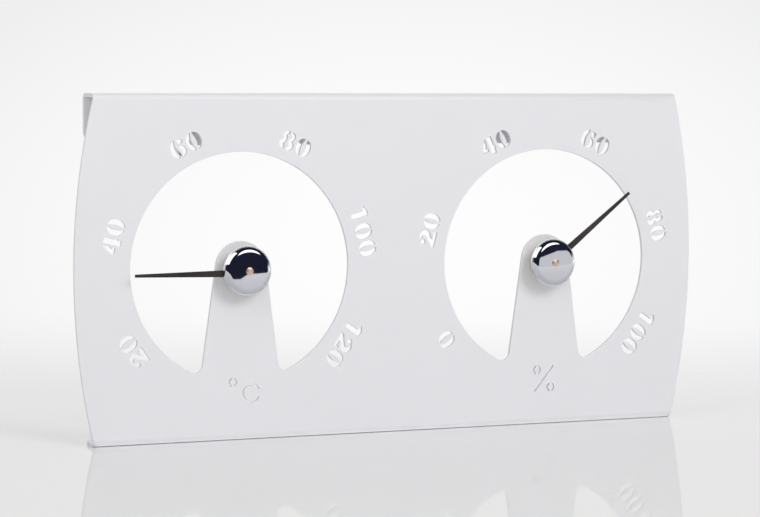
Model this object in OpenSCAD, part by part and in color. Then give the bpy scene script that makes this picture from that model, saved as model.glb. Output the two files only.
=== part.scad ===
// Thermo-hygrometer: one bent sheet panel with two open dials, a bimetal
// thermometer movement on the left tongue and a hair-strip hygrometer
// movement on the right one. Stands on its bottom flange or hangs by the
// notches in its return flange.
// The viewer stands at -Y. The origin is at the middle of the base.

/* [Panel] */
// Height of the panel
panel_h = 130; // [120:1:150]
// Width of the panel at its widest, half way up
panel_w = 256.4; // [250:1:280]
// Radius of the two bowed sides
side_arc_r = 278; // [220:1:400]
// Thickness of the sheet
sheet_t = 1.5; // [1:0.1:2]
// Inner radius of every bend
bend_inner_r = 1; // [0.5:0.1:2]
// Depth from the front face to the back of the return flange
panel_depth = 13.5; // [12:0.5:20]
// How far the return flange hangs below the top face
return_drop = 19.6; // [16:0.2:21]
// Radius of the free corners of both flanges
corner_r = 6; // [3:0.5:8]
// How far the ends of the flanges lie inside the bowed sides
flange_relief = 0.2; // [0.1:0.1:1]

/* [Hanging notches] */
// Width of a notch in the return flange
notch_w = 12; // [8:0.5:16]
// Height of a notch, measured from the flange's lower edge
notch_h = 10; // [9:0.2:12]
// Distance between the two notches behind one dial
notch_pitch = 44; // [30:1:60]
// Radius of the rounded mouth of a notch
notch_mouth_r = 1.5; // [0.5:0.1:2]

/* [Dial openings] */
// Distance between the two dial centres
dial_pitch = 127; // [124:0.5:130]
// Radius of a dial opening
window_r = 43.4; // [40:0.2:45]
// Radius of the round top of the tongue
tongue_r = 10; // [8.5:0.5:13]
// Angle by which each side of the tongue leans outwards
tongue_lean_angle = 7.8; // [2:0.2:12]
// Radius where an opening meets the foot of the tongue
lobe_fillet_r = 3; // [1:0.2:4]
// How far the pivots and the scale centres lie below the openings' centres
pivot_drop = 0.6; // [0:0.1:1.5]

/* [Scales] */
// Radius of the circle on which the middles of the numbers sit
scale_r = 51.4; // [50:0.2:53]
// Angle from straight up to either end of a scale
scale_end_angle = 125; // [100:1:130]
// Height of a numeral
digit_h = 7; // [5:0.1:7.6]
// Width of a round numeral
digit_w = 5.9; // [5:0.1:6.2]
// Distance between the numerals of one number
digit_pitch = 6.8; // [6.6:0.1:8]
// Width of the bridges that hold the inside of a numeral
bridge_w = 0.9; // [0.6:0.1:1.2]
// Lowest number on the thermometer scale
thermometer_first_number = 20; // [0:20:20]
// Lowest number on the hygrometer scale
hygrometer_first_number = 0; // [0:20:0]
// Step between numbers on both scales
number_step = 20; // [20:20:20]
// Distance from the pivots down to the middle of the unit signs
unit_drop = 46.4; // [46:0.2:50]
// Outer radius of the letter in the degree sign
unit_letter_r = 3.7; // [3:0.1:4]
// Outer radius of the small rings in the unit signs
unit_ring_r = 1.8; // [1.4:0.1:2]
// How far the degree sign's ring lies beside the sign's middle
degree_ring_aside = 3.3; // [3:0.1:4]
// How far the degree sign's ring lies above the sign's middle
degree_ring_rise = 4; // [3.6:0.1:4.6]
// How far the degree sign's letter lies beside the sign's middle
degree_letter_aside = 4.2; // [4:0.1:4.8]
// How far the degree sign's letter lies below the sign's middle
degree_letter_drop = 0.4; // [0:0.1:1]
// How far the rings of the percent sign lie beside its middle
percent_ring_aside = 3; // [2.6:0.1:3.4]
// How far the rings of the percent sign lie above and below its middle
percent_ring_rise = 3.5; // [3.2:0.1:4.2]
// Length of the percent sign's stroke
percent_stroke_l = 13; // [11:0.5:14]
// Angle by which the percent sign's stroke leans
percent_lean_angle = 39; // [35:1:42]
// Width of the lines of the unit signs
unit_line_w = 0.75; // [0.5:0.05:0.9]

/* [Needles] */
// Angle at which the thermometer needle rests, clockwise from straight up
thermometer_rest_angle = -90; // [-125:1:125]
// Angle at which the hygrometer needle rests, clockwise from straight up
hygrometer_rest_angle = 51.3; // [-125:0.1:125]
// How far the thermometer needle's middle line lies beside its pivot
thermometer_needle_aside = -1; // [-1.4:0.1:1.4]
// How far the hygrometer needle's middle line lies beside its pivot
hygrometer_needle_aside = 0.5; // [-1.4:0.1:1.4]
// Reach of a needle from its pivot
needle_reach = 43.3; // [36:0.1:46]
// Thickness of a needle
needle_t = 0.5; // [0.3:0.1:0.8]
// Width of a needle where it leaves the cap
needle_root_w = 2.5; // [2:0.1:3]
// Width of a needle at its tip
needle_tip_w = 1.1; // [0.6:0.1:1.5]
// Radius of the eye that a needle has round its bush
needle_eye_r = 4; // [3.4:0.1:4.2]

/* [Post] */
// Radius of the post where it passes through the tongue
post_r = 2; // [1.5:0.1:2.5]
// Clearance of the post in the tongue's hole
post_clearance = 0.1; // [0.05:0.01:0.2]
// Radius of the collar that sits on the tongue
collar_r = 3.4; // [3.2:0.1:4]
// Thickness of the collar
collar_t = 0.8; // [0.5:0.1:1.2]
// Radius of the post inside the hub
stem_r = 1.7; // [1.5:0.1:2]
// Radius of the journal on which the cap and needle turn
journal_r = 1.2; // [1:0.05:1.3]
// How far the post stands out of the nut
post_overhang = 0.8; // [0.4:0.1:1.5]
// Radius of the washer behind the tongue
washer_r = 4.5; // [4:0.1:6]
// Thickness of the washer behind the tongue
washer_t = 0.8; // [0.5:0.1:1.2]
// Width of the nut across its flats
nut_flats = 7; // [6.5:0.1:8]
// Thickness of the nut
nut_t = 3.2; // [2.4:0.1:3.6]

/* [Strip coil] */
// Radius of the hub that holds the coil's inner end
hub_r = 3; // [2.8:0.1:3.2]
// Height of the hub
hub_h = 4; // [3.8:0.1:5]
// Depth of the hub's slot
hub_slot_depth = 0.8; // [0.6:0.1:0.9]
// Thickness of the coiled strip
strip_t = 0.3; // [0.2:0.05:0.4]
// Width of the coiled strip
strip_w = 3; // [2.4:0.1:3.4]
// Distance from one turn of the coil to the next
coil_pitch = 0.8; // [0.6:0.05:0.85]
// Number of half turns in the coil
coil_halves = 8; // [4:2:8]

/* [Cap and carrier] */
// Radius of the cap
cap_r = 9.4; // [9.2:0.1:10]
// Depth of the cap from its face to its rim
cap_depth = 3; // [2.6:0.1:4]
// Wall of the cap
cap_wall = 0.5; // [0.4:0.05:0.7]
// Radius of the cap's rounded shoulder
shoulder_r = 2.2; // [1:0.1:2.4]
// Radius of the slight dome of the cap's face
dome_r = 80; // [50:1:120]
// Thickness of the thrust washer on the hub
thrust_t = 0.3; // [0.2:0.1:0.5]
// Play of the turning parts along the post
end_play = 0.1; // [0.08:0.01:0.15]
// Running clearance between the bush and the journal
bush_clearance = 0.03; // [0.02:0.01:0.06]
// Outer radius of the bush
bush_r = 2.4; // [2.2:0.1:2.6]
// Thickness of the carrier disc
carrier_t = 0.6; // [0.5:0.1:1]
// Width of the carrier's raised rim
carrier_rim_w = 0.6; // [0.4:0.05:0.8]
// How far the carrier's rim reaches into the cap
carrier_grip = 0.4; // [0.2:0.1:0.6]
// Radius of the rivets that hold the needle
rivet_r = 0.4; // [0.3:0.05:0.5]
// Radius of a rivet's head
rivet_head_r = 0.75; // [0.6:0.05:0.85]
// Room between the outer rivet's head and the carrier's rim
rivet_room = 0.1; // [0.05:0.05:0.3]
// Height of a rivet's head
rivet_head_h = 0.25; // [0.15:0.05:0.35]
// Radius of the anchor that carries the coil's outer end
anchor_r = 0.5; // [0.4:0.05:0.6]
// Radius of the anchor's head
anchor_head_r = 0.7; // [0.65:0.05:0.8]
// Gap between the coil's outer end and the anchor
anchor_gap = 0.3; // [0.2:0.05:0.4]
// Radius of the head of the pivot pin, seen in the middle of the cap
pin_head_r = 1.4; // [1.35:0.05:1.8]
// Height of the pivot pin's head
pin_head_h = 0.35; // [0.2:0.05:0.5]
// Radius of the pivot pin's shank
pin_shank_r = 0.6; // [0.4:0.05:0.7]
// Length of the pivot pin's shank
pin_shank_l = 2; // [1:0.1:3]

/* [Hidden] */
$fn = 96;

// How far a cutting tool passes beyond what it cuts
over = 1;
// Overlap of two rounds that run into each other
hair = 0.001;

// Heights in front of the panel's face, from the tongue outwards
hub_top = collar_t + hub_h;
thrust_top = hub_top + thrust_t;
needle_back = thrust_top + end_play;
carrier_back = needle_back + needle_t;
carrier_front = carrier_back + carrier_t;
cap_rim = carrier_front;
cap_front = cap_rim + cap_depth;
post_front = cap_front + end_play;
pin_front = post_front + pin_head_h;
post_back = -(sheet_t + washer_t + nut_t + post_overhang);

// Where the panel's front face lies, with the whole depth centred on the origin
face_y = (pin_front - panel_depth) / 2;

bend_r = bend_inner_r + sheet_t;
window_z = panel_h / 2;
dial_z = window_z - pivot_drop;
side_arc_x = side_arc_r - panel_w / 2;
side_arc_z = panel_h / 2;
function panel_half_w(z) = sqrt(pow(side_arc_r, 2) - pow(z - side_arc_z, 2)) - side_arc_x;
flange_half_w = panel_half_w(panel_h - bend_r) - flange_relief;
return_edge_z = panel_h - return_drop;

cap_bore_r = cap_r - cap_wall;
dome_inner_r = dome_r - cap_wall;
// Height that a dome loses between its middle and the radius r
function dome_fall(dome, r) = dome - sqrt(pow(dome, 2) - pow(r, 2));
bush_top = cap_front - cap_wall - dome_fall(dome_inner_r, bush_r);
bush_bore_r = journal_r + bush_clearance;

// The coil is built of half rings about two centres, half a step apart
coil_step = coil_pitch / 2;
coil_first_r = hub_r + strip_t / 2 + coil_step / 2;
coil_last_r = coil_first_r + (coil_halves - 1) * coil_step;
coil_reach = coil_last_r + coil_step / 2 + strip_t / 2;
strip_back = collar_t + (hub_h - strip_w) / 2;
anchor_orbit = coil_reach + anchor_gap + anchor_r;
anchor_tip = strip_back + strip_w / 4;

rivet_inner = needle_eye_r + rivet_head_r;
rivet_limit = cap_bore_r - carrier_rim_w - rivet_head_r - rivet_room;

// Each dial: place of its pivot, rest angle of its needle, first number, needle beside the pivot
thermometer = [-dial_pitch / 2, thermometer_rest_angle, thermometer_first_number, thermometer_needle_aside];
hygrometer = [dial_pitch / 2, hygrometer_rest_angle, hygrometer_first_number, hygrometer_needle_aside];
dials = [thermometer, hygrometer];
function dial_x(dial) = dial[0];
function rest_angle(dial) = dial[1];
function first_number(dial) = dial[2];
function needle_aside(dial) = dial[3];
function rivet_places(dial) = [rivet_inner, sqrt(pow(rivet_limit, 2) - pow(needle_aside(dial), 2))];

// Lays a flat drawing, x to the right and y up, on the panel's face
module on_face(depth) {
    translate([0, face_y + depth, 0])
        rotate([90, 0, 0])
            linear_extrude(depth) children();
}

// The frame of one dial: z points out of the face along the pivot, y up
module at_pivot(dial) {
    translate([dial_x(dial), face_y, dial_z])
        rotate([90, 0, 0]) children();
}

// The frame of one dial's turning parts: y points along the needle
module on_rotor(dial) {
    at_pivot(dial) rotate([0, 0, -rest_angle(dial)]) children();
}

// A turned disc or tube between two heights
module ring(outer, inner, from, to) {
    translate([0, 0, from]) difference() {
        cylinder(h = to - from, r = outer);
        if (inner > 0)
            translate([0, 0, -over]) cylinder(h = to - from + 2 * over, r = inner);
    }
}

// An upright slot shape with round ends
module stadium(r, height) {
    straight = height - 2 * r;
    square([2 * (r - hair), straight], center = true);
    for (side = [-1, 1])
        translate([0, side * straight / 2]) circle(r = r);
}

// Numerals

stroke_w = digit_w / 3;
hair_w = digit_h / 7;
counter_half_w = digit_w / 2 - stroke_w;
counter_arc_r = digit_h * 0.95;

// The inside of a round numeral, pointed where the bridges cross it
module counter() {
    intersection_for (side = [-1, 1])
        translate([side * (counter_arc_r - counter_half_w), 0]) circle(r = counter_arc_r);
}

module digit_0() {
    difference() {
        stadium(digit_w / 2, digit_h);
        counter();
        square([bridge_w, digit_h + over], center = true);
    }
}

module digit_1() {
    stem_left = -stroke_w * 0.3;
    flag_left = stem_left - stroke_w * 0.9;
    top = digit_h / 2;
    translate([stem_left, -top]) square([stroke_w, digit_h]);
    polygon([
        [stem_left, top],
        [stem_left, top - stroke_w * 0.9],
        [flag_left, top - stroke_w],
        [flag_left, top - stroke_w * 0.6]
    ]);
}

module digit_2() {
    left = -digit_w / 2;
    right = digit_w / 2;
    top = digit_h / 2;
    bowl_r = digit_h * 0.33;
    bowl_x = right - bowl_r;
    bowl_y = top - bowl_r;
    ball_r = stroke_w * 0.5;
    base_h = hair_w * 1.4;
    // The bowl, open to the lower left
    difference() {
        translate([bowl_x, bowl_y]) circle(r = bowl_r);
        translate([bowl_x - stroke_w * 0.45, bowl_y - hair_w * 0.1]) circle(r = bowl_r - stroke_w * 0.6);
        translate([left - over, bowl_y - digit_h]) square([bowl_x - left + over, digit_h]);
    }
    // The ball at its end
    translate([left + ball_r + stroke_w * 0.1, bowl_y + ball_r * 0.2]) circle(r = ball_r);
    // The diagonal
    polygon([
        [right, bowl_y],
        [right - stroke_w, bowl_y - hair_w * 0.2],
        [left, base_h - top - hair_w * 0.3],
        [left, -top],
        [0, base_h - top]
    ]);
    // The base with its raised end
    translate([left, -top]) square([digit_w, base_h]);
    translate([right - stroke_w * 0.3, -top]) square([stroke_w * 0.3, base_h * 1.6]);
}

module digit_4() {
    left = -digit_w / 2;
    top = digit_h / 2;
    bar_top = -digit_h * 0.1;
    bar_low = bar_top - hair_w * 1.1;
    stem_left = bridge_w * 0.35;
    arm_right = stem_left - bridge_w;
    // The arm and its half of the bar
    polygon([
        [left, bar_low],
        [arm_right, bar_low],
        [arm_right, bar_top],
        [left + stroke_w * 0.8, bar_top],
        [arm_right, digit_h * 0.08],
        [arm_right, top],
        [left, bar_top + hair_w * 0.4]
    ]);
    // The stem and the stub of the bar
    translate([stem_left, -top]) square([stroke_w, digit_h]);
    translate([stem_left, bar_low]) square([stroke_w * 1.25, bar_top - bar_low]);
}

module digit_6() {
    right = digit_w / 2;
    top = digit_h / 2;
    bowl_r = digit_h * 0.3;
    bowl_x = right - bowl_r;
    bowl_y = bowl_r - top;
    ball_r = stroke_w * 0.5;
    // The long left stroke
    intersection() {
        difference() {
            stadium(digit_w / 2, digit_h);
            counter();
        }
        translate([-digit_w - bridge_w / 2, -digit_h]) square([digit_w, 2 * digit_h]);
    }
    // The right half of the bowl
    intersection() {
        difference() {
            union() {
                translate([bowl_x, bowl_y]) circle(r = bowl_r);
                translate([0, bowl_y - bowl_r]) square([bowl_x, 2 * bowl_r]);
            }
            translate([bridge_w / 2, bowl_y]) stadium(counter_half_w * 0.6, bowl_r * 1.2);
        }
        translate([bridge_w / 2, -digit_h]) square([digit_w, 2 * digit_h]);
    }
    // The upper end with its ball
    translate([right - ball_r - hair_w * 0.3, top - ball_r - hair_w * 0.3]) circle(r = ball_r);
    translate([bridge_w / 2, top - hair_w]) square([ball_r * 1.2, hair_w * 0.7]);
}

module digit_8() {
    upper_r = digit_h * 0.25;
    lower_r = digit_h * 0.28;
    upper_w = digit_w * 0.86;
    counter_w = bridge_w + stroke_w / 2;
    difference() {
        union() {
            translate([0, digit_h / 2 - upper_r]) rotate(90) stadium(upper_r, upper_w);
            translate([0, lower_r - digit_h / 2]) rotate(90) stadium(lower_r, digit_w);
        }
        translate([0, digit_h / 2 - upper_r]) square([counter_w, hair_w], center = true);
        translate([0, lower_r - digit_h / 2]) square([counter_w, hair_w * 1.2], center = true);
        square([bridge_w, digit_h + over], center = true);
    }
}

module digit(value) {
    if (value == 0) digit_0();
    if (value == 1) digit_1();
    if (value == 2) digit_2();
    if (value == 4) digit_4();
    if (value == 6) digit_6();
    if (value == 8) digit_8();
}

function digits_of(number) =
    number < 10 ? [number] : concat(digits_of(floor(number / 10)), [number % 10]);

// All numbers of one scale, each set straight with its top outwards, drawn
// about the dial's centre
module scale_numbers(first) {
    steps = 5;
    for (step = [0:steps]) {
        figures = digits_of(first + step * number_step);
        angle = -scale_end_angle + step * 2 * scale_end_angle / steps;
        rotate(-angle)
            for (place = [0:len(figures) - 1])
                translate([(place - (len(figures) - 1) / 2) * digit_pitch, scale_r]) digit(figures[place]);
    }
}

// A small ring in two halves
module unit_ring() {
    difference() {
        circle(r = unit_ring_r);
        circle(r = unit_ring_r - unit_line_w);
        square([unit_line_w, 3 * unit_ring_r], center = true);
    }
}

module degree_sign() {
    mouth = unit_letter_r * 1.1;
    translate([-degree_ring_aside, degree_ring_rise]) unit_ring();
    translate([degree_letter_aside, -degree_letter_drop]) difference() {
        circle(r = unit_letter_r);
        circle(r = unit_letter_r - unit_line_w);
        polygon([[0, 0], [2 * mouth, mouth], [2 * mouth, -mouth]]);
    }
}

module percent_sign() {
    rotate(-percent_lean_angle) square([unit_line_w, percent_stroke_l], center = true);
    for (side = [-1, 1])
        translate([side * percent_ring_aside, -side * percent_ring_rise]) unit_ring();
}

// Panel

// Directions across and along the right-hand edge of a tongue
tongue_across = [cos(tongue_lean_angle), sin(tongue_lean_angle)];
tongue_down = [sin(tongue_lean_angle), -cos(tongue_lean_angle)];

// The material that rounds the corner between an opening and its tongue,
// drawn about the opening's centre for the right-hand corner
module lobe_corner() {
    window_run = window_r - lobe_fillet_r;
    edge_off = tongue_r - hair;
    middle_off = edge_off + lobe_fillet_r;
    middle = middle_off * tongue_across + sqrt(pow(window_run, 2) - pow(middle_off, 2)) * tongue_down;
    beyond_window = middle * (window_r + over) / window_run;
    inside_tongue = (edge_off - over) * tongue_across;
    difference() {
        polygon([
            middle,
            middle - (lobe_fillet_r + over) * tongue_across,
            inside_tongue + (window_r + over) * tongue_down,
            beyond_window
        ]);
        translate(middle) circle(r = lobe_fillet_r + hair);
    }
}

// The tongue that carries the movement, drawn about the opening's centre
// and led down past the opening's lowest point
module tongue() {
    edge = (tongue_r - hair) * tongue_across;
    run = (edge[1] + window_r + over) / -tongue_down[1];
    foot = edge + run * tongue_down;
    circle(r = tongue_r);
    polygon([[-edge[0], edge[1]], edge, foot, [-foot[0], foot[1]]]);
}

// One dial opening, drawn about its centre
module dial_opening() {
    difference() {
        circle(r = window_r, $fn = 180);
        tongue();
        lobe_corner();
        mirror([1, 0]) lobe_corner();
    }
}

// The flat front of the panel between the two bends, with all that is cut in it
module front_drawing() {
    difference() {
        intersection() {
            translate([-panel_w / 2, bend_r]) square([panel_w, panel_h - 2 * bend_r]);
            translate([side_arc_x, side_arc_z]) mirror([1, 0]) circle(r = side_arc_r, $fn = 720);
            translate([-side_arc_x, side_arc_z]) circle(r = side_arc_r, $fn = 720);
        }
        for (dial = dials) {
            translate([dial_x(dial), window_z]) dial_opening();
            translate([dial_x(dial), dial_z]) scale_numbers(first_number(dial));
            translate([dial_x(dial), dial_z]) circle(r = post_r + post_clearance);
        }
        translate([dial_x(thermometer), dial_z - unit_drop]) degree_sign();
        translate([dial_x(hygrometer), dial_z - unit_drop]) percent_sign();
    }
}

// A quarter of a bend, drawn about its centre in the given direction
module bend_quarter(side, up) {
    intersection() {
        difference() {
            circle(r = bend_r);
            circle(r = bend_inner_r);
        }
        translate([side > 0 ? 0 : -bend_r, up > 0 ? 0 : -bend_r]) square(bend_r);
    }
}

// Section through both flanges, with depth to the right and height up
module flange_section() {
    translate([bend_r, bend_r]) bend_quarter(-1, -1);
    translate([bend_r, 0]) square([panel_depth - bend_r, sheet_t]);
    translate([bend_r, panel_h - bend_r]) bend_quarter(-1, 1);
    translate([bend_r, panel_h - sheet_t]) square([panel_depth - 2 * bend_r, sheet_t]);
    translate([panel_depth - bend_r, panel_h - bend_r]) bend_quarter(1, 1);
    translate([panel_depth - sheet_t, return_edge_z]) square([sheet_t, return_drop - bend_r]);
}

// The corner that is cut away beyond a round of radius r
module corner_waste(r) {
    difference() {
        translate([-over, -over]) square(r + over);
        translate([r, r]) circle(r = r + hair);
    }
}

// A hanging notch with a rounded top and mouth, drawn about its middle on the lower edge
module notch() {
    round_r = notch_w / 2;
    translate([0, notch_h - round_r]) circle(r = round_r);
    translate([-round_r, -over]) square([notch_w, notch_h - round_r + over]);
    for (side = [-1, 1])
        scale([side, 1]) translate([round_r, 0]) corner_waste(notch_mouth_r);
}

module panel() color([0.89, 0.89, 0.9]) {
    difference() {
        union() {
            on_face(sheet_t) front_drawing();
            translate([0, face_y, 0]) rotate([90, 0, 90])
                linear_extrude(2 * flange_half_w, center = true) flange_section();
        }
        // Free corners of the return flange and of the bottom flange
        for (side = [0, 1]) mirror([side, 0, 0]) {
            translate([-flange_half_w, face_y + panel_depth + over, return_edge_z])
                rotate([90, 0, 0]) linear_extrude(sheet_t + 2 * over) corner_waste(corner_r);
            translate([-flange_half_w, face_y + panel_depth, -over])
                linear_extrude(sheet_t + 2 * over) mirror([0, 1]) corner_waste(corner_r);
        }
        // Notches in the return flange
        for (dial = dials, side = [-1, 1])
            translate([dial_x(dial) + side * notch_pitch / 2, face_y + panel_depth + over, return_edge_z])
                rotate([90, 0, 0]) linear_extrude(sheet_t + 2 * over) notch();
    }
}

// Fixed parts of a movement

// Turned post: thread end, collar, stem and journal
module post(dial) color([0.8, 0.66, 0.36]) at_pivot(dial) {
    difference() {
        union() {
            ring(post_r, 0, post_back, 0);
            ring(collar_r, 0, 0, collar_t);
            ring(stem_r, 0, collar_t, hub_top);
            ring(journal_r, 0, hub_top, post_front);
        }
        translate([0, 0, post_front - pin_shank_l]) cylinder(h = pin_shank_l + over, r = pin_shank_r);
    }
}

module washer(dial) color([0.7, 0.71, 0.73]) at_pivot(dial)
    ring(washer_r, post_r, -sheet_t - washer_t, -sheet_t);

// Six-sided nut with its corners turned off on the outer face
module nut(dial) color([0.7, 0.71, 0.73]) at_pivot(dial) {
    corner = nut_flats / 2 / cos(30);
    chamfer = corner - nut_flats / 2;
    difference() {
        intersection() {
            translate([0, 0, -sheet_t - washer_t - nut_t]) cylinder(h = nut_t, r = corner, $fn = 6);
            translate([0, 0, -sheet_t - washer_t - nut_t])
                cylinder(h = nut_t, r1 = nut_flats / 2, r2 = nut_flats / 2 + nut_t * 1.7);
            translate([0, 0, -sheet_t - washer_t - nut_t]) cylinder(h = nut_t, r = corner - chamfer / 8);
        }
        translate([0, 0, post_back]) cylinder(h = -post_back, r = post_r);
    }
}

// Collet that holds the inner end of the coil in its slot
module hub(dial) color([0.8, 0.66, 0.36]) on_rotor(dial) {
    difference() {
        ring(hub_r, stem_r, collar_t, hub_top);
        translate([hub_r - hub_slot_depth, -strip_t, collar_t - over])
            cube([hub_slot_depth + over, strip_t, hub_h + 2 * over]);
    }
}

// One half ring of the coiled strip
module coil_half(index) {
    radius = coil_first_r + index * coil_step;
    upper = index % 2 == 0;
    translate([upper ? -coil_step / 2 : coil_step / 2, 0, strip_back])
        rotate([0, 0, upper ? 0 : 180])
            rotate_extrude(angle = 180)
                translate([radius - strip_t / 2, 0]) square([strip_t, strip_w]);
}

module coil(dial, tint) color(tint) on_rotor(dial) {
    for (index = [0:coil_halves - 1]) coil_half(index);
    // The inner tail, bent into the hub's slot
    translate([hub_r - hub_slot_depth, -strip_t, strip_back])
        cube([hub_slot_depth + strip_t, strip_t, strip_w]);
}

module thrust_washer(dial) color([0.92, 0.9, 0.84]) at_pivot(dial)
    ring(hub_r, journal_r, hub_top, thrust_top);

// Headed pin pressed into the end of the post, which keeps the cap on
module pivot_pin(dial) color([0.82, 0.6, 0.45]) at_pivot(dial) {
    ring(pin_shank_r, 0, post_front - pin_shank_l, post_front);
    head_round = pin_head_h / 2;
    translate([0, 0, post_front]) rotate_extrude() {
        square([pin_head_r, pin_head_h - head_round]);
        square([pin_head_r - head_round, pin_head_h]);
        intersection() {
            translate([pin_head_r - head_round, pin_head_h - head_round]) circle(r = head_round);
            square([pin_head_r, pin_head_h]);
        }
    }
}

// Turning parts of a movement

module bush(dial) color([0.8, 0.66, 0.36]) on_rotor(dial)
    ring(bush_r, bush_bore_r, needle_back, bush_top);

// The holes for the rivets between two heights
module rivet_holes(dial, from, to) {
    for (y = rivet_places(dial))
        translate([needle_aside(dial), y, from - over]) cylinder(h = to - from + 2 * over, r = rivet_r);
}

module needle_blade() {
    root_y = cap_r;
    root_slope = (needle_root_w - needle_tip_w) / 2 / (needle_reach - root_y);
    eye_half = needle_tip_w / 2 + root_slope * needle_reach;
    polygon([
        [-eye_half, 0],
        [eye_half, 0],
        [needle_tip_w / 2, needle_reach],
        [-needle_tip_w / 2, needle_reach]
    ]);
}

// Dished disc in the cap's mouth that joins needle, cap and coil
module carrier(dial) color([0.8, 0.66, 0.36]) on_rotor(dial) {
    difference() {
        union() {
            ring(cap_bore_r, bush_r, carrier_back, carrier_front);
            ring(cap_bore_r, cap_bore_r - carrier_rim_w, carrier_front, cap_rim + carrier_grip);
        }
        rivet_holes(dial, carrier_back, carrier_front);
        translate([anchor_orbit, 0, carrier_back - over])
            cylinder(h = carrier_t + 2 * over, r = anchor_r);
    }
}

module needle(dial) color([0.17, 0.14, 0.13]) on_rotor(dial) {
    difference() {
        translate([0, 0, needle_back]) linear_extrude(needle_t) union() {
            circle(r = needle_eye_r);
            translate([needle_aside(dial), 0]) needle_blade();
        }
        translate([0, 0, needle_back - over]) cylinder(h = needle_t + 2 * over, r = bush_r);
        rivet_holes(dial, needle_back, carrier_back);
    }
}

module rivets(dial) color([0.8, 0.66, 0.36]) on_rotor(dial) {
    for (y = rivet_places(dial)) translate([needle_aside(dial), y, 0]) {
        ring(rivet_r, 0, needle_back, carrier_front);
        ring(rivet_head_r, 0, carrier_front, carrier_front + rivet_head_h);
        ring(rivet_head_r, 0, needle_back - rivet_head_h, needle_back);
    }
}

// Pin on the carrier beside the outer end of the coil
module anchor(dial) color([0.8, 0.66, 0.36]) on_rotor(dial) {
    translate([anchor_orbit, 0, 0]) {
        ring(anchor_r, 0, anchor_tip, carrier_front);
        ring(anchor_head_r, 0, carrier_front, carrier_front + rivet_head_h);
    }
}

// Half section of a domed, round-shouldered disc, smaller by the given wall all round
module cap_half_section(wall) {
    outer = cap_r - wall;
    round_r = shoulder_r - wall;
    dome = dome_r - wall;
    dome_y = cap_front - dome_r;
    round_x = outer - round_r;
    round_y = dome_y + sqrt(pow(dome - round_r + hair, 2) - pow(round_x, 2));
    intersection() {
        union() {
            square([outer, round_y]);
            square([round_x * dome / (dome - round_r), cap_front]);
            translate([round_x, round_y]) circle(r = round_r);
        }
        translate([0, dome_y]) circle(r = dome, $fn = 720);
    }
}

module cap(dial) color([0.78, 0.79, 0.82]) on_rotor(dial)
    rotate_extrude() intersection() {
        difference() {
            cap_half_section(0);
            cap_half_section(cap_wall);
        }
        translate([bush_bore_r, cap_rim]) square([cap_r, cap_depth]);
    }

panel();
post(thermometer);  // thermometer_post
washer(thermometer);  // thermometer_washer
nut(thermometer);  // thermometer_nut
hub(thermometer);  // thermometer_hub
coil(thermometer, [0.72, 0.6, 0.5]);  // thermometer_coil
thrust_washer(thermometer);  // thermometer_thrust_washer
pivot_pin(thermometer);  // thermometer_pivot_pin
bush(thermometer);  // thermometer_bush
carrier(thermometer);  // thermometer_carrier
needle(thermometer);  // thermometer_needle
rivets(thermometer);  // thermometer_rivets
anchor(thermometer);  // thermometer_anchor
cap(thermometer);  // thermometer_cap
post(hygrometer);  // hygrometer_post
washer(hygrometer);  // hygrometer_washer
nut(hygrometer);  // hygrometer_nut
hub(hygrometer);  // hygrometer_hub
coil(hygrometer, [0.83, 0.79, 0.62]);  // hygrometer_coil
thrust_washer(hygrometer);  // hygrometer_thrust_washer
pivot_pin(hygrometer);  // hygrometer_pivot_pin
bush(hygrometer);  // hygrometer_bush
carrier(hygrometer);  // hygrometer_carrier
needle(hygrometer);  // hygrometer_needle
rivets(hygrometer);  // hygrometer_rivets
anchor(hygrometer);  // hygrometer_anchor
cap(hygrometer);  // hygrometer_cap
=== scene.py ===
# %% [markdown]
# # A thermo-hygrometer with two open dials
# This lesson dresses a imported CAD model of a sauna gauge: one bent and
# powder-coated sheet with two round openings, and in each opening a tongue
# that carries a chrome cap and a dark needle. The CAD model gives every size
# and every moving part. Here it gets its camera, light, floor and finishes,
# and the small pieces that a CAD solid leaves plain.

# %% Start
import math

import bmesh
import bpy
from mathutils import Matrix, Vector


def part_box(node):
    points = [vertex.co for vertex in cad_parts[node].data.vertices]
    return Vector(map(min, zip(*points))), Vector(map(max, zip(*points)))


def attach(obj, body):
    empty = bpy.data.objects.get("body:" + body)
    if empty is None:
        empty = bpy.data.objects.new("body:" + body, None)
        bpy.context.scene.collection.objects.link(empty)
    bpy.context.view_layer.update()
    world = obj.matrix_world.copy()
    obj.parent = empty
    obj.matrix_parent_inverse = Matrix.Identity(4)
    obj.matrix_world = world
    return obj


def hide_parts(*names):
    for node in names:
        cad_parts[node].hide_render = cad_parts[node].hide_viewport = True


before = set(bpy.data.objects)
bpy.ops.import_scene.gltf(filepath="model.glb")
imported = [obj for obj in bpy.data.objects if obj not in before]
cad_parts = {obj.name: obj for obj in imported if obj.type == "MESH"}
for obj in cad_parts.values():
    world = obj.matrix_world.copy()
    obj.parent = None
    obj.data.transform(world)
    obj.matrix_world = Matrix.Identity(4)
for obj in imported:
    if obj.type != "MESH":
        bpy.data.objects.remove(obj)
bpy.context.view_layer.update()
MM = 0.001

# %% [markdown]
# ## Where things are
# Each node of the CAD model says where its piece is, so the two pivots are
# read from the caps' boxes and never typed in. A pivot runs along Y, straight
# out of the panel, and the viewer stands on the side of smaller Y. Heights
# below are in millimetres, measured out from the panel's face.

# %% Pivots and the panel's face
def middle(node):
    low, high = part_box(node)
    return (Vector(low) + Vector(high)) / 2


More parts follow.
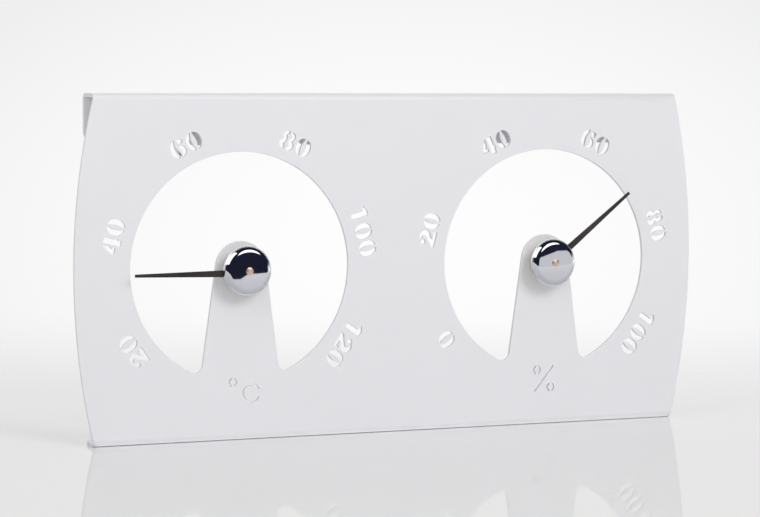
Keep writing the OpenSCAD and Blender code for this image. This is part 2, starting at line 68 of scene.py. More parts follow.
pivots = {}
for dial in ("thermometer", "hygrometer"):
    cap_middle = middle(dial + "_cap")
    pivots[dial] = Vector((cap_middle.x, 0, cap_middle.z))
face_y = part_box("panel")[0][1]
print("panel face at y = %.2f mm" % (face_y / MM))
for dial, place in pivots.items():
    print(dial, "pivot at x = %.2f, z = %.2f mm" % (place.x / MM, place.z / MM))

# %% [markdown]
# ## The camera
# The photograph was taken with a long lens from the left of the panel and a
# little above its middle. The two round openings show as ellipses, and their
# shapes and the panel's straight edges give the camera's place and aim. A
# long lens keeps the perspective mild, which is how product pictures are made.

# %% Camera at the photograph's place
PICTURE_WIDTH, FOCAL_PIXELS, SENSOR_MM = 760, 2655, 36
YAW, PITCH, ROLL = (math.radians(a) for a in (23.22, -4.35, 0.39))
CAMERA_PLACE = Vector((-0.406, -0.930 + face_y, 0.1441))

level_aim = Vector((math.sin(YAW), math.cos(YAW), 0))
aim = math.cos(PITCH) * level_aim + Vector((0, 0, math.sin(PITCH)))
level = Vector((math.cos(YAW), -math.sin(YAW), 0))
upright = level.cross(aim)
camera_right = math.cos(ROLL) * level + math.sin(ROLL) * upright
camera_up = math.cos(ROLL) * upright - math.sin(ROLL) * level
turn = Matrix((camera_right, camera_up, -aim)).transposed()

camera_data = bpy.data.cameras.new("camera")
camera_data.sensor_width = SENSOR_MM
camera_data.lens = SENSOR_MM * FOCAL_PIXELS / PICTURE_WIDTH
camera = bpy.data.objects.new("camera", camera_data)
camera.matrix_world = Matrix.Translation(CAMERA_PLACE) @ turn.to_4x4()
bpy.context.scene.collection.objects.link(camera)
bpy.context.scene.camera = camera
print("lens %.1f mm, %.2f m from the panel" % (camera_data.lens, CAMERA_PLACE.length))

# %% [markdown]
# ## Node helpers
# Every finish below is a small network of nodes. A few helpers keep the cells
# short: one starts a material and hands back its shader, one adds a node,
# sets its values and joins its inputs, and the others mix two colours or
# stretch a noise to the range that a socket needs.

# %% Helpers for materials
MIX_FIRST, MIX_SECOND, MIX_RESULT = 6, 7, 2  # the colour sockets of a Mix node


def start_material(name, colour, metallic, roughness):
    material = bpy.data.materials.new(name)
    material.use_nodes = True
    shader = material.node_tree.nodes["Principled BSDF"]
    shader.inputs["Base Color"].default_value = (*colour, 1)
    shader.inputs["Metallic"].default_value = metallic
    shader.inputs["Roughness"].default_value = roughness
    return material, shader


def add_node(tree, kind, settings=None, inputs=None):
    node = tree.nodes.new(kind)
    for key, value in (settings or {}).items():
        setattr(node, key, value)
    for key, value in (inputs or {}).items():
        if isinstance(value, bpy.types.NodeSocket):
            tree.links.new(value, node.inputs[key])
        else:
            node.inputs[key].default_value = value
    return node


def blend_colours(tree, factor, first, second):
    first, second = (c if isinstance(c, bpy.types.NodeSocket) else (*c, 1)
                     for c in (first, second))
    mix = add_node(tree, "ShaderNodeMix", {"data_type": "RGBA"}, {
        "Factor": factor, MIX_FIRST: first, MIX_SECOND: second})
    return mix.outputs[MIX_RESULT]


def spread(tree, value, low, high, from_low=0.35, from_high=0.65, smooth=False):
    kind = "SMOOTHSTEP" if smooth else "LINEAR"
    scale = add_node(tree, "ShaderNodeMapRange", {"interpolation_type": kind}, {
        "Value": value, "From Min": from_low, "From Max": from_high,
        "To Min": low, "To Max": high})
    return scale.outputs["Result"]


def smooth_step(tree, value, start, end):
    return spread(tree, value, 0, 1, start, end, smooth=True)


def object_place(tree):
    return add_node(tree, "ShaderNodeTexCoord").outputs["Object"]


def noise(tree, scale, detail=2, roughness=0.5, place=None):
    texture = add_node(tree, "ShaderNodeTexNoise", inputs={
        "Vector": place or object_place(tree),
        "Scale": scale, "Detail": detail, "Roughness": roughness})
    return texture.outputs["Fac"]


def bump_from(tree, shader, height, strength, distance):
    bump = add_node(tree, "ShaderNodeBump", inputs={
        "Strength": strength, "Distance": distance, "Height": height})
    tree.links.new(bump.outputs["Normal"], shader.inputs["Normal"])


print("helpers ready")

# %% [markdown]
# ## Powder coat
# The panel is steel sheet with a fine white powder coat. The paint melts into
# a skin with a faint orange peel, so its gloss is soft and slightly uneven.
# A noise at about a millimetre drives a very small bump, and a second, wider
# one moves the roughness a little, which breaks up any reflection.

# %% Powder coat
def powder_coat():
    material, shader = start_material(
        "powder_coat", (0.80, 0.80, 0.825), metallic=0, roughness=0.42)
    tree = material.node_tree
    patches = noise(tree, scale=35, detail=3, roughness=0.55)
    tree.links.new(spread(tree, patches, low=0.38, high=0.46), shader.inputs["Roughness"])
    tint = blend_colours(tree, patches, (0.795, 0.795, 0.82), (0.805, 0.805, 0.83))
    tree.links.new(tint, shader.inputs["Base Color"])
    bump_from(tree, shader, noise(tree, scale=900), strength=0.12, distance=0.00003)
    return material


panel_paint = powder_coat()
print("made", panel_paint.name)

# %% [markdown]
# ## Metals
# The caps are polished chrome, so nearly everything seen in them is the
# studio. Tiny wipe marks in the roughness keep the mirror from looking like
# glass. The turned brass, the zinc-plated washers and nuts and the rolled
# strips are made the same way, with a stretched noise where a tool or a mill
# has left its grain.

# %% Metals
WIPED_SHADE = 0.98


def polished(name, colour, roughness):
    material, shader = start_material(name, colour, 1, roughness)
    tree = material.node_tree
    wipes = noise(tree, scale=260, detail=4, roughness=0.6)
    uneven = spread(tree, wipes, roughness * 0.8, roughness * 1.3)
    tree.links.new(uneven, shader.inputs["Roughness"])
    shade = blend_colours(tree, wipes, tuple(c * WIPED_SHADE for c in colour), colour)
    tree.links.new(shade, shader.inputs["Base Color"])
    return material


def grained(name, colour, dark, roughness, grain):
    material, shader = start_material(name, colour, 1, roughness)
    tree = material.node_tree
    stretch = add_node(tree, "ShaderNodeMapping", inputs={
        "Vector": object_place(tree), "Scale": grain})
    lines = noise(tree, scale=1, detail=3, roughness=0.6, place=stretch.outputs["Vector"])
    tree.links.new(blend_colours(tree, lines, dark, colour), shader.inputs["Base Color"])
    uneven = spread(tree, lines, roughness * 0.75, roughness * 1.35)
    tree.links.new(uneven, shader.inputs["Roughness"])
    bump_from(tree, shader, lines, strength=0.2, distance=0.00002)
    return material


cap_chrome = polished("cap_chrome", (0.77, 0.78, 0.795), roughness=0.035)
pin_copper = polished("pin_copper", (0.92, 0.70, 0.54), roughness=0.30)
turned_brass = grained("turned_brass", (0.78, 0.69, 0.49), dark=(0.62, 0.53, 0.36),
                       roughness=0.28, grain=(900, 9000, 900))
zinc_steel = grained("zinc_steel", (0.72, 0.73, 0.75), dark=(0.58, 0.59, 0.61),
                     roughness=0.34, grain=(2500, 700, 2500))
bimetal_strip = grained("bimetal_strip", (0.70, 0.62, 0.55), dark=(0.56, 0.49, 0.43),
                        roughness=0.32, grain=(500, 9000, 500))
humidity_strip = grained("humidity_strip", (0.80, 0.70, 0.44), dark=(0.66, 0.56, 0.34),
                         roughness=0.36, grain=(500, 9000, 500))
print("made 6 metals")

# %% [markdown]
# ## Needle paint and the thrust washer
# The needles are stamped from thin sheet and painted a very dark brown-black,
# with fine specks and a slightly uneven shade. The thrust washer between hub
# and carrier is plain plastic, seen only from the side through the slit
# behind the cap.

# %% Paint and plastic
def needle_finish():
    material, shader = start_material(
        "needle_paint", (0.024, 0.020, 0.019), metallic=0, roughness=0.3)
    tree = material.node_tree
    specks = noise(tree, scale=1400, detail=2, roughness=0.6)
    wear = noise(tree, scale=90, detail=2, roughness=0.5)
    shade = blend_colours(tree, spread(tree, wear, 0, 1),
                          (0.019, 0.016, 0.016), (0.036, 0.026, 0.023))
    tree.links.new(shade, shader.inputs["Base Color"])
    tree.links.new(spread(tree, specks, low=0.28, high=0.42), shader.inputs["Roughness"])
    bump_from(tree, shader, specks, strength=0.1, distance=0.00001)
    return material


def washer_plastic():
    material, shader = start_material(
        "washer_plastic", (0.80, 0.78, 0.72), metallic=0, roughness=0.45)
    tree = material.node_tree
    cloud = noise(tree, scale=700)
    shade = blend_colours(tree, cloud, (0.76, 0.74, 0.68), (0.84, 0.82, 0.76))
    tree.links.new(shade, shader.inputs["Base Color"])
    tree.links.new(spread(tree, cloud, low=0.4, high=0.5), shader.inputs["Roughness"])
    return material


needle_paint = needle_finish()
nylon = washer_plastic()
print("made", needle_paint.name, "and", nylon.name)

# %% [markdown]
# ## Finishes for the CAD pieces
# A CAD piece whose shape is right stays as it is and only gets its finish.
# The list is by kind of piece, because both dials hold the same pieces, and
# only the two coils differ: bimetal on the left, a coated strip on the right.
# No cut edge is quite sharp under paint or after tumbling, so three modifiers
# round it: one welds the faces into a skin, one joins the triangles of a flat
# face, and a bevel then runs along the real edges alone.

# %% Assign the finishes and round the edges
finishes = {
    "post": turned_brass, "washer": zinc_steel, "nut": zinc_steel, "hub": turned_brass,
    "thrust_washer": nylon, "pivot_pin": pin_copper, "bush": turned_brass,
    "carrier": turned_brass, "needle": needle_paint, "rivets": turned_brass,
    "anchor": turned_brass, "cap": cap_chrome,
}
SHEET_EDGE, SMALL_EDGE = 0.15 * MM, 0.06 * MM
WELD_REACH = 0.002 * MM
FLAT_DEGREES, EDGE_DEGREES = 0.5, 40


def round_edges(piece, width):
    weld = piece.modifiers.new("weld", "WELD")
    weld.merge_threshold = WELD_REACH
    join = piece.modifiers.new("join_flat_faces", "DECIMATE")
    join.decimate_type = "DISSOLVE"
    join.angle_limit = math.radians(FLAT_DEGREES)
    bevel = piece.modifiers.new("round_edges", "BEVEL")
    bevel.width = width
    bevel.segments = 2
    bevel.limit_method = "ANGLE"
    bevel.angle_limit = math.radians(EDGE_DEGREES)
    bevel.use_clamp_overlap = False
    bevel.harden_normals = True


for name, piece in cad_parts.items():
    dial, _, kind = name.partition("_")
    finish = finishes.get(kind, panel_paint)
    if kind == "coil":
        finish = bimetal_strip if dial == "thermometer" else humidity_strip
    piece.data.materials.clear()
    piece.data.materials.append(finish)
    round_edges(piece, SHEET_EDGE if name == "panel" else SMALL_EDGE)
print("finished", len(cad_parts), "CAD pieces")

# %% [markdown]
# ## Turned pieces
# Caps, pins, posts and washers are round, so one helper turns a half section
# about the pivot, as a lathe does. The section is a closed list of radius and
# height. A point on the axis becomes one shared corner, and a point marked as
# threaded has its radius follow a screw line instead of a circle.

# %% Helper that turns a half section
THREAD_PITCH, THREAD_DEPTH = 0.7, 0.38


def turned_ring(mesh, centre, radius, height, segments, threaded=False):
    ring = []
    for step in range(segments if radius > 0 else 1):
        angle = 2 * math.pi * step / segments
        here = radius
        if threaded:
            rise = (height / THREAD_PITCH - step / segments) % 1
            here = radius - THREAD_DEPTH * abs(2 * rise - 1)
        ring.append(mesh.verts.new((
            centre.x + here * MM * math.cos(angle),
            face_y - height * MM,
            centre.z + here * MM * math.sin(angle))))
    return ring


def turned_band(mesh, ring, following, segments):
    for step in range(segments):
        after = (step + 1) % segments
        corners = [ring[step % len(ring)], ring[after % len(ring)],
                   following[after % len(following)], following[step % len(following)]]
        mesh.faces.new(list(dict.fromkeys(corners)))


def close_bands(mesh, rings, segments):
    for ring, following in zip(rings, rings[1:] + rings[:1]):
        if len(ring) + len(following) > 2:
            turned_band(mesh, ring, following, segments)


def turned(mesh, centre, section, segments):
    rings = [turned_ring(mesh, centre, radius, height, segments, bool(threaded))
             for radius, height, *threaded in section]
    close_bands(mesh, rings, segments)


def arc(centre_r, centre_h, radius, start, end, steps):
    points = []
    for step in range(steps + 1):
        angle = math.radians(start + (end - start) * step / steps)
        points.append((centre_r + radius * math.cos(angle),
                       centre_h + radius * math.sin(angle)))
    return points


def finish_piece(mesh, name, body, finish, sharp_degrees=35):
    bmesh.ops.recalc_face_normals(mesh, faces=mesh.faces)
    for edge in mesh.edges:
        edge.smooth = edge.calc_face_angle(0) < math.radians(sharp_degrees)
    for face in mesh.faces:
        face.smooth = True
    data = bpy.data.meshes.new(name)
    mesh.to_mesh(data)
    mesh.free()
    data.materials.append(finish)
    piece = bpy.data.objects.new(name, data)
    bpy.context.scene.collection.objects.link(piece)
    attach(piece, body)
    print(name, len(data.polygons), "faces")
    return piece


print("the lathe is ready")

# %% [markdown]
# ## Caps
# A cap is pressed from thin sheet: a slightly domed face, a rounded shoulder
# and a short straight wall. The dome matters most, because it decides how the
# studio bends in the mirror. The shoulder's round touches the dome without a
# corner, so its middle is worked out from the two radii.

# %% Caps
CAP_R, CAP_FRONT, CAP_RIM, CAP_WALL = 9.4, 9.3, 6.3, 0.5
DOME_R, SHOULDER_R = 80, 2.5
CAP_BORE, BORE_ROUND, BORE_DROP = 1.23, 0.08, 0.1
RIM_ROUND = 0.12
CAP_SEGMENTS = 192


def cap_section():
    dome_h = CAP_FRONT - DOME_R
    shoulder_x = CAP_R - SHOULDER_R
    rise = math.sqrt((DOME_R - SHOULDER_R) ** 2 - shoulder_x ** 2)
    shoulder_h = dome_h + rise
    lean = math.degrees(math.atan2(rise, shoulder_x))
    inner_dome = DOME_R - CAP_WALL
    bore_outside = math.degrees(math.acos((CAP_BORE + BORE_ROUND) / DOME_R))
    bore_inside = math.degrees(math.acos(CAP_BORE / inner_dome))
    return [
        (CAP_BORE, CAP_FRONT - BORE_DROP),
        *arc(0, dome_h, DOME_R, bore_outside, lean, 16),
        *arc(shoulder_x, shoulder_h, SHOULDER_R, lean, 0, 24)[1:],
        *arc(CAP_R - RIM_ROUND, CAP_RIM + RIM_ROUND, RIM_ROUND, 0, -90, 4),
        (CAP_R - CAP_WALL, CAP_RIM),
        *arc(shoulder_x, shoulder_h, SHOULDER_R - CAP_WALL, 0, lean, 8),
        *arc(0, dome_h, inner_dome, lean, bore_inside, 6)[1:],
    ]


for dial, centre in pivots.items():
    mesh = bmesh.new()
    turned(mesh, centre, cap_section(), CAP_SEGMENTS)
    cap = finish_piece(mesh, dial + "_cap_shell", dial + "_pointer", cap_chrome)
    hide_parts(dial + "_cap")

# %% [markdown]
# ## Pivot pins
# The copper-coloured dot in the middle of each cap is the head of the pin
# that keeps the cap on its post. The head is a low dome, with the small
# centre mark that the lathe leaves, and its shank is pressed into the post.

# %% Pivot pins
PIN_BACK, POST_FRONT, PIN_FRONT = 7.4, 9.4, 9.75
PIN_SHANK_R, PIN_HEAD_R, PIN_EDGE, PIN_UNDERSIDE = 0.6, 1.4, 0.14, 0.04
MARK_R, MARK_FLOOR_R, MARK_SIDE, MARK_DEPTH = 0.3, 0.18, 0.07, 0.1
PIN_SEGMENTS = 64


def pin_section():
    drop = PIN_FRONT - POST_FRONT - PIN_EDGE
    dome = (PIN_HEAD_R ** 2 + drop ** 2) / (2 * drop)
    edge = math.degrees(math.acos(PIN_HEAD_R / dome))
    mark = math.degrees(math.acos(MARK_R / dome))
    return [
        (0, PIN_FRONT - MARK_DEPTH), (MARK_FLOOR_R, PIN_FRONT - MARK_SIDE),
        *arc(0, PIN_FRONT - dome, dome, mark, edge, 8),
        (PIN_HEAD_R, POST_FRONT + PIN_UNDERSIDE), (PIN_HEAD_R - PIN_UNDERSIDE, POST_FRONT),
        (PIN_SHANK_R, POST_FRONT), (PIN_SHANK_R, PIN_BACK), (0, PIN_BACK),
    ]


for dial, centre in pivots.items():
    mesh = bmesh.new()
    turned(mesh, centre, pin_section(), PIN_SEGMENTS)
    pin = finish_piece(mesh, dial + "_pin_head", "panel_body", pin_copper)
    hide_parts(dial + "_pivot_pin")

# %% [markdown]
# ## Posts
# A post is one turned piece. Seen from the front it is a journal for the cap,
# a stem for the hub and a collar that rests on the tongue. Behind the tongue
# its shank is threaded for the nut, and the last turn of the thread stands
# proud with a chamfered end. A real screw line is modelled, since a close
# view from behind shows it.

# %% Posts
POST_BACK, SHANK_R = -6.3, 2.0
STEM_R, JOURNAL_R, HUB_TOP = 1.7, 1.2, 4.8
COLLAR_R, COLLAR_T = 3.4, 0.8
POST_EDGE = 0.08
THREAD_START, THREAD_END, THREAD_STEPS = -1.6, POST_BACK + 0.45, 52
CHAMFER_R, CHAMFER_START, END_FACE_R = 1.55, POST_BACK + 0.35, 1.3
CENTRE_R, CENTRE_DEPTH = 0.45, 0.3
POST_SEGMENTS = 72


def post_section():
    thread_step = (THREAD_END - THREAD_START) / THREAD_STEPS
    return [
        (0, PIN_BACK), (PIN_SHANK_R, PIN_BACK), (PIN_SHANK_R, POST_FRONT),
        (JOURNAL_R - POST_EDGE, POST_FRONT), (JOURNAL_R, POST_FRONT - POST_EDGE),
        (JOURNAL_R, HUB_TOP), (STEM_R - POST_EDGE, HUB_TOP), (STEM_R, HUB_TOP - POST_EDGE),
        (STEM_R, COLLAR_T), (COLLAR_R - POST_EDGE, COLLAR_T), (COLLAR_R, COLLAR_T - POST_EDGE),
        (COLLAR_R, POST_EDGE), (COLLAR_R - POST_EDGE, 0), (SHANK_R, 0), (SHANK_R, THREAD_START),
        *[(SHANK_R, THREAD_START + thread_step * (step + 1), "threaded")
          for step in range(THREAD_STEPS)],
        (CHAMFER_R, CHAMFER_START), (END_FACE_R, POST_BACK),
        (CENTRE_R, POST_BACK), (0, POST_BACK + CENTRE_DEPTH),
    ]


for dial, centre in pivots.items():
    mesh = bmesh.new()
    turned(mesh, centre, post_section(), POST_SEGMENTS)
    post = finish_piece(
        mesh, dial + "_threaded_post", "panel_body", turned_brass)
    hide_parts(dial + "_post")

# %% [markdown]
# ## Nuts and washers
# The nut behind the tongue is a hexagon with both faces chamfered by a cone,
# which gives each flat its curved ends. It is built as rings whose radius
# follows the hexagon while the cone sets their height. The washer under it
# has one rounded side, where the punch went in, and one sharper side.

# %% Nuts and washers
SHEET_T, WASHER_T, WASHER_R, NUT_FLATS, NUT_T = 1.5, 0.8, 4.5, 7.0, 3.2
NUT_FACE_R, NUT_CONE_DEGREES, NUT_BORE_CHAMFER = 0.97 * NUT_FLATS / 2, 30, 0.25
PUNCHED_ROUND, WASHER_EDGE = 0.22, 0.04
WASHER_PLAY, WASHER_BORE_CHAMFER = 0.02, 0.1
NUT_SEGMENTS = WASHER_SEGMENTS = 96


def hexagon_ring(mesh, centre, face_height, inward):
    ring = []
    cone = math.tan(math.radians(NUT_CONE_DEGREES))
    for step in range(NUT_SEGMENTS):
        angle = 2 * math.pi * step / NUT_SEGMENTS
        from_flat = (angle + math.pi / 6) % (math.pi / 3) - math.pi / 6
        radius = NUT_FLATS / 2 / math.cos(from_flat)
        height = face_height + inward * (radius - NUT_FACE_R) * cone
        ring.append(mesh.verts.new((
            centre.x + radius * MM * math.cos(angle),
            face_y - height * MM,
            centre.z + radius * MM * math.sin(angle))))
    return ring


def build_nut(mesh, centre):
    front = -SHEET_T - WASHER_T
    back = front - NUT_T
    bore = SHANK_R + NUT_BORE_CHAMFER

    def ring(radius, height):
        return turned_ring(mesh, centre, radius, height, NUT_SEGMENTS)

    close_bands(mesh, [
        ring(bore, front), ring(NUT_FACE_R, front),
        hexagon_ring(mesh, centre, front, inward=-1),
        hexagon_ring(mesh, centre, back, inward=1),
        ring(NUT_FACE_R, back), ring(bore, back),
        ring(SHANK_R, back + NUT_BORE_CHAMFER), ring(SHANK_R, front - NUT_BORE_CHAMFER),
    ], NUT_SEGMENTS)


def washer_section():
    front, back = -SHEET_T, -SHEET_T - WASHER_T
    bore = SHANK_R + WASHER_PLAY
    return [
        (bore, front), (WASHER_R - WASHER_EDGE, front), (WASHER_R, front - WASHER_EDGE),
        *arc(WASHER_R - PUNCHED_ROUND, back + PUNCHED_ROUND, PUNCHED_ROUND, 0, -90, 4),
        (bore + WASHER_BORE_CHAMFER, back), (bore, back + WASHER_BORE_CHAMFER),
    ]


for dial, centre in pivots.items():
    mesh = bmesh.new()
    build_nut(mesh, centre)
    nut = finish_piece(
        mesh, dial + "_hexagon_nut", "panel_body", zinc_steel, sharp_degrees=20)
    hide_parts(dial + "_nut")
    mesh = bmesh.new()
    turned(mesh, centre, washer_section(), WASHER_SEGMENTS)
    washer = finish_piece(
        mesh, dial + "_punched_washer", "panel_body", zinc_steel)
    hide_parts(dial + "_washer")

# %% [markdown]
# ## Rivets
# Two small rivets hold each needle on the carrier. Their heads were set by a
# punch, so they are low domes. The CAD rivets say where they are: each solid's
# corners lie in two clusters along the needle, and the clusters' middles are
# the two places.

# %% Rivets
NEEDLE_BACK, CARRIER_FRONT = 5.2, 6.3
RIVET_R, RIVET_HEAD_R, RIVET_HEAD_H = 0.4, 0.75, 0.25
RIVET_SEGMENTS = 32


def rivet_places(dial):
    corners = [v.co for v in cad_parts[dial + "_rivets"].data.vertices]
    pivot = pivots[dial]
    reach = [math.hypot(c.x - pivot.x, c.z - pivot.z) for c in corners]
    half_way = (min(reach) + max(reach)) / 2
    for near in (True, False):
        group = [c for c, r in zip(corners, reach) if (r < half_way) == near]
        xs, zs = [c.x for c in group], [c.z for c in group]
        yield Vector(((min(xs) + max(xs)) / 2, 0, (min(zs) + max(zs)) / 2))


def rivet_section():
    dome = (RIVET_HEAD_R ** 2 + RIVET_HEAD_H ** 2) / (2 * RIVET_HEAD_H)
    rim = math.degrees(math.acos(RIVET_HEAD_R / dome))
    front, back = CARRIER_FRONT + RIVET_HEAD_H, NEEDLE_BACK - RIVET_HEAD_H
    return [
        (0, front), *arc(0, front - dome, dome, 90, rim, 6)[1:],
        (RIVET_R, CARRIER_FRONT), (RIVET_R, NEEDLE_BACK),
        *arc(0, back + dome, dome, -rim, -90, 6)[:-1], (0, back),
    ]


for dial in pivots:
    mesh = bmesh.new()
    for place in rivet_places(dial):
        turned(mesh, place, rivet_section(), RIVET_SEGMENTS)
    rivets = finish_piece(
        mesh, dial + "_domed_rivets", dial + "_pointer", turned_brass)
    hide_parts(dial + "_rivets")

# %% [markdown]
# ## Floor
# The gauge stands on a glossy white table that runs out into the backdrop, so
# no horizon shows. The table shows a faint mirror image of the panel. For the
# camera it fades out behind the gauge and far to each side, and lets the
# backdrop's own light through. In a mirror the table looks a little darker
# and ends at its front edge, which is the line between light and dark in the
# caps. A second part carries it on before that edge for all but mirrors.

# %% Floor
FADE_NEAR, FADE_FAR = -0.05, 0.5
ROUND_FADE_NEAR, ROUND_FADE_FAR = 0.30, 0.62
TABLE_GLOSS = 0.4
TABLE_IN_MIRROR = (0.69, 0.69, 0.74)


def table_finish():
    material, shader = start_material(
        "table_top", (0.85, 0.85, 0.85), metallic=0, roughness=0.03)
    tree = material.node_tree
    place = object_place(tree)
    ray = add_node(tree, "ShaderNodeLightPath")
    cloud = noise(tree, scale=5, place=place)
    tint = blend_colours(tree, cloud, (0.84, 0.84, 0.84), (0.86, 0.86, 0.86))
    tint = blend_colours(tree, ray.outputs["Is Glossy Ray"], tint, TABLE_IN_MIRROR)
    tree.links.new(tint, shader.inputs["Base Color"])
    shader.inputs["Specular IOR Level"].default_value = TABLE_GLOSS
    away = add_node(tree, "ShaderNodeVectorMath", {"operation": "DOT_PRODUCT"}, {
        0: place, 1: level_aim})
    behind = smooth_step(tree, away.outputs["Value"], FADE_NEAR, FADE_FAR)
    distance = add_node(tree, "ShaderNodeVectorMath", {"operation": "LENGTH"}, {0: place})
    around = smooth_step(tree, distance.outputs["Value"], ROUND_FADE_NEAR, ROUND_FADE_FAR)
    gone = add_node(tree, "ShaderNodeMath", {"operation": "MAXIMUM"}, {0: behind, 1: around})
    for_camera = add_node(tree, "ShaderNodeMath", {"operation": "MULTIPLY"}, {
        0: gone.outputs[0], 1: ray.outputs["Is Camera Ray"]})
    clear = add_node(tree, "ShaderNodeBsdfTransparent")
    both = add_node(tree, "ShaderNodeMixShader", inputs={
        0: for_camera.outputs[0], 1: shader.outputs["BSDF"], 2: clear.outputs["BSDF"]})
    surface = tree.nodes["Material Output"].inputs["Surface"]
    tree.links.new(both.outputs["Shader"], surface)
    return material


def table_part(name, outline, finish):
    mesh = bpy.data.meshes.new(name)
    mesh.from_pydata([(x, y, 0) for x, y in outline], [], [tuple(range(len(outline)))])
    mesh.materials.append(finish)
    part = bpy.data.objects.new(name, mesh)
    bpy.context.scene.collection.objects.link(part)
    return part


REACH = 3
front_edge = [(-REACH, -0.40), (0.04, -0.40), (0.13, -0.56), (REACH, -0.56)]
white_top = table_finish()
table = table_part("table", front_edge + [(REACH, REACH), (-REACH, REACH)], white_top)
apron = table_part(
    "table_before_the_edge", front_edge + [(REACH, -REACH), (-REACH, -REACH)], white_top)
apron.visible_glossy = False
print("table in 2 parts")

# %% [markdown]
# ## Light
# A white backdrop stands behind the gauge and the room behind the camera is
# dark, as in most small studios. The world does both. The camera sees the
# backdrop, brightest behind the gauge and paler towards the edges. A mirror
# sees white behind the gauge and low on the right, and a dark blue room above
# the table's front edge. Everything else gets an even fill.

# %% World
BRIGHTEST, PALEST = 0.985, 0.86
BRIGHT_SPOT_ASIDE, BRIGHT_SPOT_UP = 0.012, 0.01
FALL_AROUND, FALL_UPWARDS = 5.6, 6.0
ROOM_DARK, BACKDROP_WHITE, EVEN_FILL = (0.014, 0.015, 0.032), (0.95,) * 3, (0.54,) * 3
WHITE_BEHIND, WHITE_TO_THE_RIGHT, WHITE_BELOW = (0.35, 0.52), (0.84, 0.94), (-0.20, 0.0)

world = bpy.data.worlds.new("studio")
bpy.context.scene.world = world
world.use_nodes = True
tree = world.node_tree
direction = add_node(tree, "ShaderNodeTexCoord").outputs["Generated"]


def along(axis):
    dot = add_node(tree, "ShaderNodeVectorMath", {"operation": "DOT_PRODUCT"}, {
        0: direction, 1: axis})
    return dot.outputs["Value"]


def calculate(operation, first, second):
    node = add_node(tree, "ShaderNodeMath", {"operation": operation}, {0: first, 1: second})
    return node.outputs[0]


bright_spot = (aim + BRIGHT_SPOT_ASIDE * level).normalized()
from_spot = calculate("SUBTRACT", 1.0, along(bright_spot))
height = calculate("SUBTRACT", along(upright), BRIGHT_SPOT_UP)
around = calculate("MULTIPLY", from_spot, FALL_AROUND)
upwards = calculate("MULTIPLY", calculate("MULTIPLY", height, height), FALL_UPWARDS)
backdrop = calculate("SUBTRACT", calculate("SUBTRACT", BRIGHTEST, around), upwards)
seen_by_camera = calculate("MAXIMUM", PALEST, backdrop)

low_right = calculate("MULTIPLY", smooth_step(tree, along((1, 0, 0)), *WHITE_TO_THE_RIGHT),
                      smooth_step(tree, along((0, 0, -1)), *WHITE_BELOW))
behind = smooth_step(tree, along((0, 1, 0)), *WHITE_BEHIND)
white_side = calculate("MAXIMUM", behind, low_right)
seen_in_mirror = blend_colours(tree, white_side, ROOM_DARK, BACKDROP_WHITE)

ray = add_node(tree, "ShaderNodeLightPath").outputs
colour = blend_colours(tree, ray["Is Glossy Ray"], EVEN_FILL, seen_in_mirror)
colour = blend_colours(tree, ray["Is Camera Ray"], colour, seen_by_camera)
tree.links.new(colour, tree.nodes["Background"].inputs["Color"])
bpy.context.scene.view_settings.view_transform = "Standard"
print("world ready")

# %% [markdown]
# ## Lamps
# Four round softboxes light the gauge. The main one hangs high in front on
# the right, so that the shadows of the caps fall softly down and to the left
# on their tongues. One on the left and one beside the camera lighten these
# shadows. One behind lights the back of the gauge alone and leaves the table
# out. The white table is a little translucent and glows under the sheet's
# round bottom edge, and a weak strip stands in for that glow. A lamp is far
# brighter than white, so its edge would look ragged in a mirror, and the lamps
# are kept out of mirrors.

# %% Lamps
LAMP_TARGET = (0, 0, 0.06)
LAMPS = {  # each with its place, width and power
    "round_lamp": ((0.40, -1.45, 0.95), 0.80, 9),
    "left_lamp": ((-1.25, -0.60, 0.95), 0.80, 3.6),
    "front_lamp": ((-0.80, -2.00, 0.26), 0.60, 5.5),
    "back_lamp": ((0.35, 1.30, 0.45), 1.00, 4.5),
}
GLOW_LENGTH, GLOW_WIDTH, GLOW_POWER = 0.240, 0.0017, 0.00045
GLOW_BEHIND_FACE, GLOW_HEIGHT = 0.00065, 0.00025


def aimed(place, target):
    return (Vector(target) - Vector(place)).to_track_quat("-Z", "Y").to_euler()


def add_lamp(name, place, width, power):
    data = bpy.data.lights.new(name, "AREA")
    data.shape = "DISK"
    data.size = width
    data.energy = power
    lamp = bpy.data.objects.new(name, data)
    lamp.location = place
    lamp.rotation_euler = aimed(place, LAMP_TARGET)
    lamp.visible_camera = False
    lamp.visible_glossy = False
    bpy.context.scene.collection.objects.link(lamp)
    return lamp


def group_of_table(name, link_state):
    group = bpy.data.collections.new(name)
    for part in (table, apron):
        group.objects.link(part)
    for link in group.collection_objects:
        link.light_linking.link_state = link_state
    return group


all_but_table = group_of_table("all_but_table", "EXCLUDE")
table_alone = group_of_table("table_alone", "INCLUDE")
lamps = {name: add_lamp(name, *sizes) for name, sizes in LAMPS.items()}
lamps["back_lamp"].light_linking.receiver_collection = all_but_table

glow_place = (0, face_y + GLOW_BEHIND_FACE, GLOW_HEIGHT)
table_glow = add_lamp("table_glow", glow_place, GLOW_LENGTH, GLOW_POWER)
table_glow.data.shape = "RECTANGLE"
table_glow.data.size_y = GLOW_WIDTH
table_glow.rotation_euler = (math.pi, 0, 0)
print(len(lamps), "lamps and a glow")

# %% [markdown]
# ## Screens for the mirrors
# Polished metal shows only what stands around it. The round screen is the
# white crescent on each cap's shoulder, the wide screen on the left is the
# slanted patch beside it, and a card that stands close on the right fills the
# right cap's face with pale grey up to a slanted top edge. The camera sees no
# screen, they light nothing, and the table is left out of them. Three pale
# walls are for the table alone, so that its gloss is even from every side.

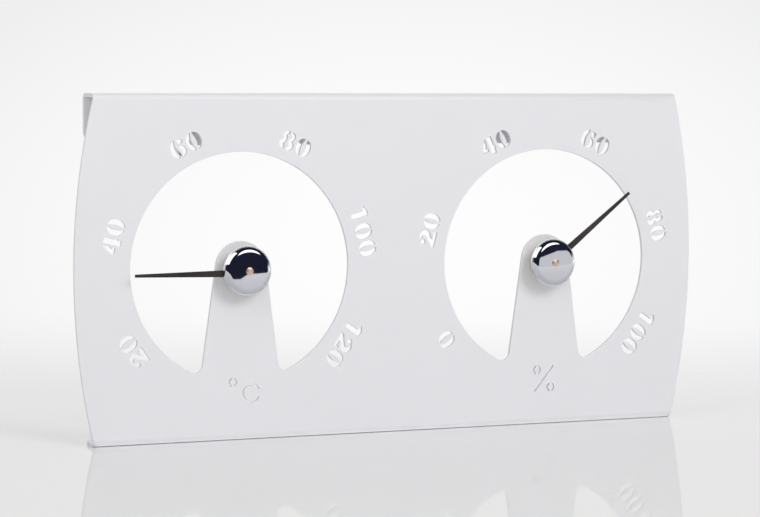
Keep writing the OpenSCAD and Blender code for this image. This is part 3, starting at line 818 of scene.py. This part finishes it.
# %% Screens
ROUND_SCREEN_PLACE, ROUND_SCREEN_R, ROUND_SCREEN_CORNERS = (0.493, -1.450, 0.756), 0.66, 48
LEFT_SCREEN_PLACE, LEFT_SCREEN_TARGET = (-0.95, -0.17, 0.72), (-0.06, 0, 0.064)
CARD_Y = -0.20
WALLS, WALL_TOP, WALL_END = 2.6, 3.5, 1.0


def screen_finish(name, colour, strength, soft_from=None, soft_to=None):
    material = bpy.data.materials.new(name)
    material.use_nodes = True
    tree = material.node_tree
    glow = add_node(tree, "ShaderNodeEmission", inputs={
        "Color": (*colour, 1), "Strength": strength})
    if soft_to:
        reach = add_node(tree, "ShaderNodeVectorMath", {"operation": "LENGTH"}, {
            0: object_place(tree)})
        fade = spread(tree, reach.outputs["Value"], strength, 0, soft_from, soft_to, smooth=True)
        tree.links.new(fade, glow.inputs["Strength"])
    clear = add_node(tree, "ShaderNodeBsdfTransparent")
    both = add_node(tree, "ShaderNodeAddShader", inputs={0: glow.outputs[0], 1: clear.outputs[0]})
    tree.links.new(both.outputs[0], tree.nodes["Material Output"].inputs["Surface"])
    return material


def screen(name, corners, finish, place=(0, 0, 0), facing=None, seen_in=all_but_table,
           faces=None):
    mesh = bpy.data.meshes.new(name)
    mesh.from_pydata(corners, [], faces or [tuple(range(len(corners)))])
    mesh.materials.append(finish)
    piece = bpy.data.objects.new(name, mesh)
    piece.location = place
    if facing:
        piece.rotation_euler = aimed(place, facing)
    bpy.context.scene.collection.objects.link(piece)
    piece.visible_camera = piece.visible_diffuse = piece.visible_shadow = False
    piece.light_linking.receiver_collection = seen_in


angles = [2 * math.pi * i / ROUND_SCREEN_CORNERS for i in range(ROUND_SCREEN_CORNERS)]
circle = [(ROUND_SCREEN_R * math.cos(a), ROUND_SCREEN_R * math.sin(a), 0) for a in angles]
screen("round_screen", circle,
       screen_finish("round_screen", (1, 1, 1), strength=2.2, soft_from=0.44, soft_to=0.57),
       ROUND_SCREEN_PLACE, LAMP_TARGET)
wide = [(-0.95, -0.36, 0), (0.80, -0.36, 0), (0.95, 0.62, 0), (-0.95, 0.62, 0)]
screen("left_screen", wide, screen_finish("left_screen", (1, 1, 1), strength=1.5),
       LEFT_SCREEN_PLACE, LEFT_SCREEN_TARGET)
card = [(0.108, 0.04165), (0.40, 0.04165), (0.40, 0.077),
        (0.165, 0.0757), (0.132, 0.0665), (0.110, 0.060)]
screen("reflector_card", [(x, CARD_Y, z) for x, z in card],
       screen_finish("card_white", (0.97, 0.97, 1.0), strength=0.69))
wall_line = [(-WALLS, WALL_END), (-WALLS, -WALLS), (WALLS, -WALLS), (WALLS, WALL_END)]
wall_corners = [(x, y, z) for z in (0, WALL_TOP) for x, y in wall_line]
screen("table_walls", wall_corners, screen_finish("wall_white", (1, 1, 1), strength=0.88),
       seen_in=table_alone, faces=[(i, i + 1, i + 5, i + 4) for i in range(3)])
print("4 screens")
